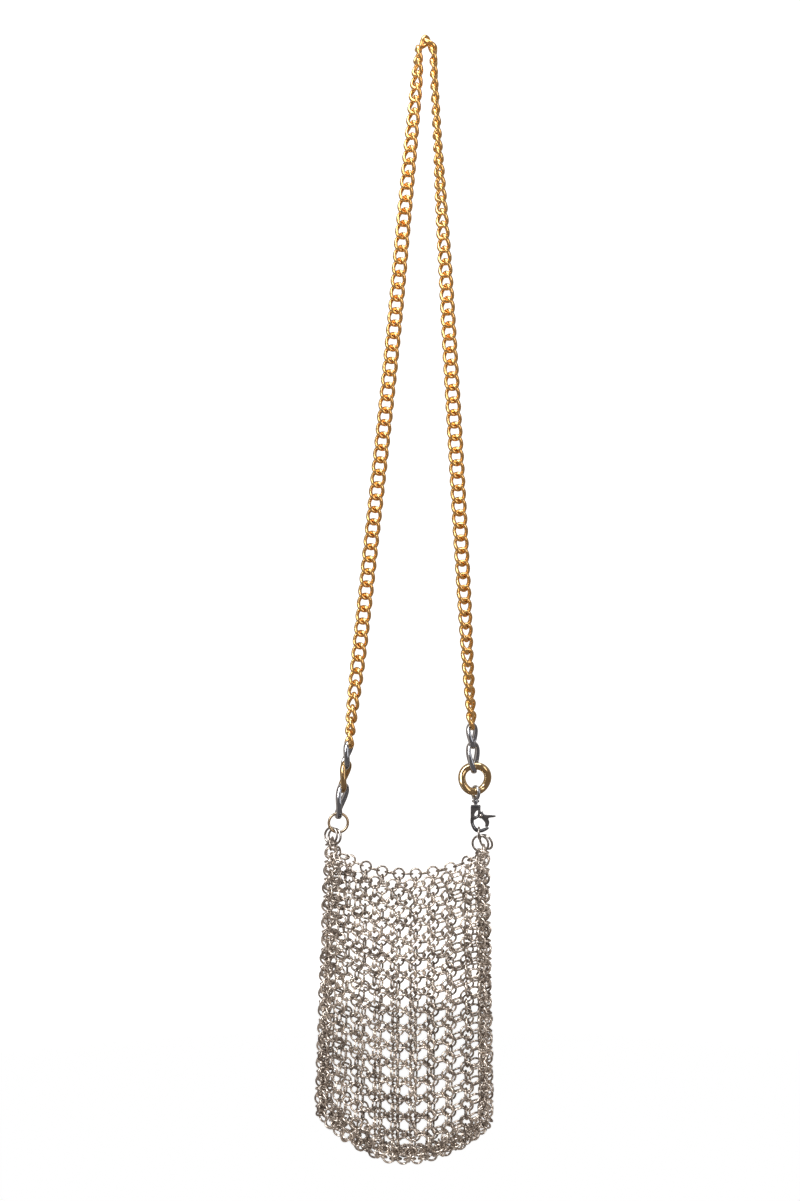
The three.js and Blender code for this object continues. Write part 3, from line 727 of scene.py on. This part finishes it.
def clasp_piece(name, parts, finish, origin):
    """One clean mesh of parts in mm, smooth but for its sharp edges."""
    verts, faces = joined(parts)
    piece = mesh_object(name, verts * MM + np.array(origin), faces, finish)
    shell = bmesh.new()
    shell.from_mesh(piece.data)
    bmesh.ops.remove_doubles(shell, verts=shell.verts, dist=1e-6)
    bmesh.ops.recalc_face_normals(shell, faces=shell.faces)
    shell.to_mesh(piece.data)
    shell.free()
    piece.data.set_sharp_from_angle(angle=math.radians(50))
    return piece


def moved(part, shift):
    """A part's verts and faces, shifted."""
    return part[0] + np.array(shift), part[1]


def across(part):
    """A turned part laid along Y."""
    verts, faces = part
    return np.stack([verts[:, 0], -verts[:, 2], verts[:, 1]], axis=1), faces


body_low, body_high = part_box("clasp_body")
clasp_top = Vector((body_low[0] + HOOK_REACH_LEFT * MM, 0, body_high[2]))
window = rounded(WINDOW_OUTLINE)
body_parts = [
    plate([BLOCK_OUTLINE, window], CHEEK["thickness"], CHEEK["edge"], CHEEK["depth"]),
    plate([BLOCK_OUTLINE, window], CHEEK["thickness"], CHEEK["edge"], -CHEEK["depth"]),
    plate([CORE_OUTLINE, window], CORE["thickness"], CORE["edge"]),
    arm(HOOK_ARM, HOOK_DEPTH_SHARE),
]
body = clasp_piece("clasp_body_casting", body_parts, "gunmetal", clasp_top)
stand_for(body, "clasp_body", "clasp_hook")

pin = across(lathe(PIN_PROFILE))
pin_piece = clasp_piece("clasp_pin_rivet", [moved(pin, (PIVOT[0], 0, PIVOT[1]))], "nickel", clasp_top)
stand_for(pin_piece, "clasp_pin", "clasp_hook")

lever_plate = plate([rounded(LEVER_OUTLINE)], LEVER["thickness"], LEVER["edge"])
lever = clasp_piece("clasp_lever_gate", [lever_plate], "gunmetal", clasp_top)
stand_for(lever, "clasp_lever", "clasp_lever")

eye_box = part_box("clasp_swivel_eye")
eye_top = Vector((clasp_top.x, 0, eye_box[1][2]))
verts, faces = link_tube(EYE["length"], EYE["width"], EYE["wire"], 0, *EYE_DETAIL)
loop = placed(verts, Matrix.Rotation(math.radians(EYE["yaw"]), 4, "Z"))
eye_parts = [
    moved((loop, triangles(faces)), (0, 0, -EYE["length"] / 2)),
    moved(lathe(NECK_PROFILE), (0, 0, -EYE["length"])),
]
eye = clasp_piece("clasp_swivel_loop", eye_parts, "silver", eye_top)
stand_for(eye, "clasp_swivel_eye")


# Stage, camera and light


def stage_material():
    """White paper that glows a little, so that the page behind is even."""
    material = bpy.data.materials.new("paper")
    material.use_nodes = True
    shader = material.node_tree.nodes["Principled BSDF"]
    shader.inputs["Base Color"].default_value = (0.5, 0.5, 0.5, 1)
    shader.inputs["Roughness"].default_value = 0.9
    shader.inputs["Emission Color"].default_value = (1, 1, 1, 1)
    shader.inputs["Emission Strength"].default_value = 1.0
    return material


SWEEP = {"floor": -1.0, "radius": 4.0, "bend": 1.2, "top": 4.0, "steps": 12, "sides": 64}


def sweep():
    """A pale round floor that curves up into a wall on all sides."""
    bend = SWEEP["bend"]
    profile = [(0, SWEEP["floor"])]
    for step in range(SWEEP["steps"] + 1):
        angle = math.radians(90 * step / SWEEP["steps"])
        out = SWEEP["radius"] - bend + bend * math.sin(angle)
        profile.append((out, SWEEP["floor"] + bend - bend * math.cos(angle)))
    profile.append((SWEEP["radius"], SWEEP["top"]))
    verts, faces = lathe(profile, SWEEP["sides"])
    mesh = bpy.data.meshes.new("sweep")
    mesh.from_pydata(verts.tolist(), [], faces.tolist())
    mesh.polygons.foreach_set("use_smooth", [True] * len(faces))
    mesh.materials.append(stage_material())
    floor = bpy.data.objects.new("sweep", mesh)
    bpy.context.scene.collection.objects.link(floor)
    floor.visible_glossy = False
    floor.visible_diffuse = False


def area_light(name, place, target, size, power):
    """A white panel that faces the target."""
    light = bpy.data.lights.new(name, "AREA")
    light.shape = "RECTANGLE"
    light.size, light.size_y = size
    light.energy = power
    lamp = bpy.data.objects.new(name, light)
    lamp.location = place
    lamp.rotation_euler = (Vector(target) - Vector(place)).to_track_quat("-Z", "Y").to_euler()
    bpy.context.scene.collection.objects.link(lamp)


sweep()

world = bpy.data.worlds.new("studio")
world.use_nodes = True
world.node_tree.nodes["Background"].inputs["Color"].default_value = (0.40, 0.36, 0.33, 1)
world.node_tree.nodes["Background"].inputs["Strength"].default_value = 1.0
bpy.context.scene.world = world
bpy.context.scene.view_settings.view_transform = "Standard"

bag_middle = (-0.018, 0, -0.4)
area_light("key", (-0.9, -1.5, 0.4), bag_middle, (0.7, 1.2), 26)
area_light("fill", (1.3, -1.3, -0.1), bag_middle, (0.6, 1.2), 12)
area_light("top", (0.0, -0.3, 1.0), bag_middle, (1.0, 0.8), 14)

camera_data = bpy.data.cameras.new("camera")
camera_data.lens = 48.2
camera_data.sensor_width = 36
camera = bpy.data.objects.new("camera", camera_data)
azimuth = math.radians(4)
distance = 1.1
target = Vector((-0.0178, 0, -0.3807))
camera.location = target + Vector((math.sin(azimuth), -math.cos(azimuth), 0)) * distance
camera.rotation_euler = (target - camera.location).to_track_quat("-Z", "Y").to_euler()
bpy.context.scene.collection.objects.link(camera)
bpy.context.scene.camera = camera
